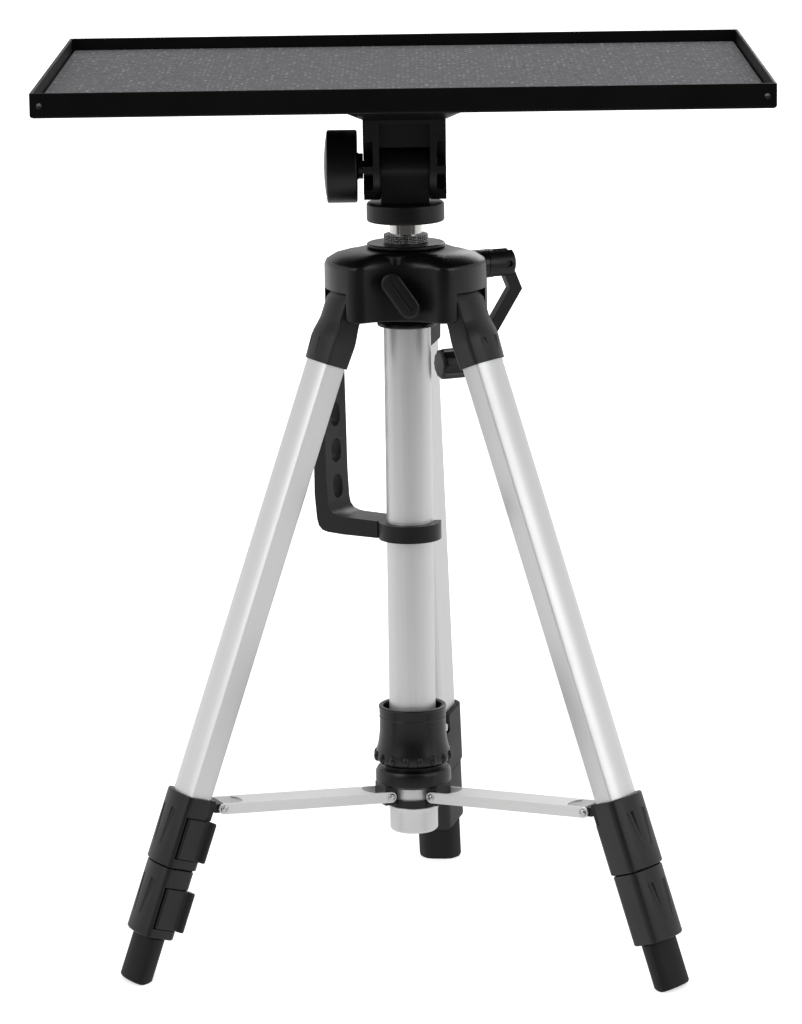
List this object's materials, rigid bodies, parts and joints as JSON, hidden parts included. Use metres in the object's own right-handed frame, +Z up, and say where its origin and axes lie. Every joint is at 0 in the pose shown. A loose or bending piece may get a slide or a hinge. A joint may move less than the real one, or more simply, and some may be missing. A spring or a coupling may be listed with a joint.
{
  "type": "projector tripod stand",
  "caption": "Tripod stand with a tilting equipment tray, a sliding centre column, telescopic legs with flip locks and a folding spreader.",
  "frame": {"origin": "on the floor under the middle of the stand's bounding box", "axes": "+Z up along the column, -Y towards the front, where the column clamp is, +X to the viewer's right"},
  "size_m": [0.4, 0.334, 0.5179],
  "materials": {
    "black_plastic": "semi-gloss moulded",
    "black_steel": "fine satin powder coat",
    "grey_mat": "matte with pale specks",
    "aluminium": "satin anodised",
    "chrome": "bright plated",
    "steel": "plated"
  },
  "bodies": {
    "crown": {"crown_shell": "black_plastic", "crown_top_collar": "black_plastic", "crown_lower_bush": "black_plastic", "outer_column_tube": "aluminium", "column_foot_cup": "aluminium", "neck_ring": "steel", "crank_head": "black_plastic", "carry_handle": "black_plastic", "leg_hinge_pin_left": "steel", "leg_hinge_pin_right": "steel", "leg_hinge_pin_rear": "steel"},
    "column": {"inner_column": "chrome", "head_stud": "steel", "column_guide_bush": "black_plastic"},
    "pan_base": {"head_base": "black_plastic"},
    "tray": {"tilt_yoke": "black_plastic", "tilt_bolt": "steel", "tray_mount_plate": "black_plastic", "tray_screw": "steel", "tray_pan": "black_steel", "tray_mat": "grey_mat"},
    "tilt_clamp": {"tilt_knob": "black_plastic"},
    "column_clamp": {"column_lock_knob": "black_plastic"},
    "crank": {"crank_arm": "black_plastic"},
    "crank_grip": {"crank_knob": "black_plastic"},
    "hub": {"spreader_hub": "black_plastic"},
    "hub_collar": {"spreader_collar": "black_plastic"},
    "leg_left": {"leg_socket_left": "black_plastic", "leg_upper_tube_left": "aluminium", "upper_lock_body_left": "black_plastic"},
    "leg_left_middle": {"leg_middle_tube_left": "aluminium", "lower_lock_body_left": "black_plastic"},
    "leg_left_lower": {"leg_lower_tube_left": "aluminium", "foot_left": "black_plastic"},
    "leg_left_upper_lever": {"upper_lock_lever_left": "black_plastic"},
    "leg_left_lower_lever": {"lower_lock_lever_left": "black_plastic"},
    "arm_left": {"spreader_arm_left": "aluminium", "arm_pin_left": "chrome"},
    "leg_right": {"leg_socket_right": "black_plastic", "leg_upper_tube_right": "aluminium", "upper_lock_body_right": "black_plastic"},
    "leg_right_middle": {"leg_middle_tube_right": "aluminium", "lower_lock_body_right": "black_plastic"},
    "leg_right_lower": {"leg_lower_tube_right": "aluminium", "foot_right": "black_plastic"},
    "leg_right_upper_lever": {"upper_lock_lever_right": "black_plastic"},
    "leg_right_lower_lever": {"lower_lock_lever_right": "black_plastic"},
    "arm_right": {"spreader_arm_right": "aluminium", "arm_pin_right": "chrome"},
    "leg_rear": {"leg_socket_rear": "black_plastic", "leg_upper_tube_rear": "aluminium", "upper_lock_body_rear": "black_plastic"},
    "leg_rear_middle": {"leg_middle_tube_rear": "aluminium", "lower_lock_body_rear": "black_plastic"},
    "leg_rear_lower": {"leg_lower_tube_rear": "aluminium", "foot_rear": "black_plastic"},
    "leg_rear_upper_lever": {"upper_lock_lever_rear": "black_plastic"},
    "leg_rear_lower_lever": {"lower_lock_lever_rear": "black_plastic"},
    "arm_rear": {"spreader_arm_rear": "aluminium", "arm_pin_rear": "chrome"}
  },
  "joints": [
    {"name": "column_lift", "type": "slide", "parent": "crown", "child": "column", "axis": [0, 0, 1], "range_m": [0, 0.25]},
    {"name": "head_pan", "type": "hinge", "parent": "column", "child": "pan_base", "pos_m": [0, -0.017, 0.432], "axis": [0, 0, 1], "continuous": true},
    {"name": "head_tilt", "type": "hinge", "parent": "pan_base", "child": "tray", "pos_m": [0, -0.017, 0.4576], "axis": [1, 0, 0], "range_deg": [-45, 45]},
    {"name": "tilt_clamp_turn", "type": "hinge", "parent": "tray", "child": "tilt_clamp", "pos_m": [-0.035, -0.017, 0.4576], "axis": [-1, 0, 0], "range_deg": [0, 360]},
    {"name": "column_clamp_turn", "type": "hinge", "parent": "crown", "child": "column_clamp", "pos_m": [-0.00314, -0.05286, 0.3885], "axis": [-0.0872, -0.9962, 0], "range_deg": [0, 360]},
    {"name": "crank_fold", "type": "hinge", "parent": "crown", "child": "crank", "pos_m": [0.05619, 0.0092, 0.3975], "axis": [0.4226, -0.9063, 0], "range_deg": [0, 180]},
    {"name": "crank_grip_turn", "type": "hinge", "parent": "crank", "child": "crank_grip", "pos_m": [0.03372, -0.00128, 0.341], "axis": [0.9063, 0.4226, 0], "continuous": true},
    {"name": "hub_slide", "type": "slide", "parent": "crown", "child": "hub", "axis": [0, 0, 1], "range_m": [0, 0.0739]},
    {"name": "hub_collar_turn", "type": "hinge", "parent": "hub", "child": "hub_collar", "pos_m": [0, -0.017, 0.125], "axis": [0, 0, 1], "range_deg": [0, 90]},
    {"name": "leg_fold_left", "type": "hinge", "parent": "crown", "child": "leg_left", "pos_m": [-0.03299, -0.03238, 0.388], "axis": [0.4226, -0.9063, 0], "range_deg": [0, 6]},
    {"name": "leg_left_upper_slide", "type": "slide", "parent": "leg_left", "child": "leg_left_middle", "axis": [-0.31, -0.1445, -0.9397], "range_m": [0, 0.235]},
    {"name": "leg_left_lower_slide", "type": "slide", "parent": "leg_left_middle", "child": "leg_left_lower", "axis": [-0.31, -0.1445, -0.9397], "range_m": [0, 0.225]},
    {"name": "leg_left_upper_lever_turn", "type": "hinge", "parent": "leg_left", "child": "leg_left_upper_lever", "pos_m": [-0.13135, -0.09435, 0.08412], "axis": [-0.31, -0.1445, -0.9397], "range_deg": [0, 110]},
    {"name": "leg_left_lower_lever_turn", "type": "hinge", "parent": "leg_left_middle", "child": "leg_left_lower_lever", "pos_m": [-0.14437, -0.09931, 0.04448], "axis": [-0.31, -0.1445, -0.9397], "range_deg": [0, 110]},
    {"name": "arm_left_turn", "type": "hinge", "parent": "hub", "child": "arm_left", "pos_m": [-0.01658, -0.02473, 0.09], "axis": [0.4226, -0.9063, 0], "range_deg": [0, 48.77]},
    {"name": "leg_fold_right", "type": "hinge", "parent": "crown", "child": "leg_right", "pos_m": [0.02982, -0.03788, 0.388], "axis": [0.5736, 0.8192, 0], "range_deg": [0, 6]},
    {"name": "leg_right_upper_slide", "type": "slide", "parent": "leg_right", "child": "leg_right_middle", "axis": [0.2802, -0.1962, -0.9397], "range_m": [0, 0.235]},
    {"name": "leg_right_lower_slide", "type": "slide", "parent": "leg_right_middle", "child": "leg_right_lower", "axis": [0.2802, -0.1962, -0.9397], "range_m": [0, 0.225]},
    {"name": "leg_right_upper_lever_turn", "type": "hinge", "parent": "leg_right", "child": "leg_right_upper_lever", "pos_m": [0.13266, -0.09208, 0.08412], "axis": [0.2802, -0.1962, -0.9397], "range_deg": [0, 110]},
    {"name": "leg_right_lower_lever_turn", "type": "hinge", "parent": "leg_right_middle", "child": "leg_right_lower_lever", "pos_m": [0.14347, -0.10087, 0.04448], "axis": [0.2802, -0.1962, -0.9397], "range_deg": [0, 110]},
    {"name": "arm_right_turn", "type": "hinge", "parent": "hub", "child": "arm_right", "pos_m": [0.01499, -0.0275, 0.09], "axis": [0.5736, 0.8192, 0], "range_deg": [0, 48.77]},
    {"name": "leg_fold_rear", "type": "hinge", "parent": "crown", "child": "leg_rear", "pos_m": [0.00317, 0.01926, 0.388], "axis": [-0.9962, 0.0872, 0], "range_deg": [0, 6]},
    {"name": "leg_rear_upper_slide", "type": "slide", "parent": "leg_rear", "child": "leg_rear_middle", "axis": [0.0298, 0.3407, -0.9397], "range_m": [0, 0.235]},
    {"name": "leg_rear_lower_slide", "type": "slide", "parent": "leg_rear_middle", "child": "leg_rear_lower", "axis": [0.0298, 0.3407, -0.9397], "range_m": [0, 0.225]},
    {"name": "leg_rear_upper_lever_turn", "type": "hinge", "parent": "leg_rear", "child": "leg_rear_upper_lever", "pos_m": [-0.00131, 0.13543, 0.08412], "axis": [0.0298, 0.3407, -0.9397], "range_deg": [0, 110]},
    {"name": "leg_rear_lower_lever_turn", "type": "hinge", "parent": "leg_rear_middle", "child": "leg_rear_lower_lever", "pos_m": [0.0009, 0.14918, 0.04448], "axis": [0.0298, 0.3407, -0.9397], "range_deg": [0, 110]},
    {"name": "arm_rear_turn", "type": "hinge", "parent": "hub", "child": "arm_rear", "pos_m": [0.0016, 0.00123, 0.09], "axis": [-0.9962, 0.0872, 0], "range_deg": [0, 48.77]}
  ],
  "couplings": [
    {"joint": "arm_left_turn", "follows": "leg_fold_left", "ratio": 8.12},
    {"joint": "leg_fold_right", "follows": "leg_fold_left", "ratio": 1},
    {"joint": "arm_right_turn", "follows": "leg_fold_left", "ratio": 8.12},
    {"joint": "leg_fold_rear", "follows": "leg_fold_left", "ratio": 1},
    {"joint": "arm_rear_turn", "follows": "leg_fold_left", "ratio": 8.12},
    {"joint": "hub_slide", "follows": "leg_fold_left", "m_per_rad": 0.705}
  ]
}
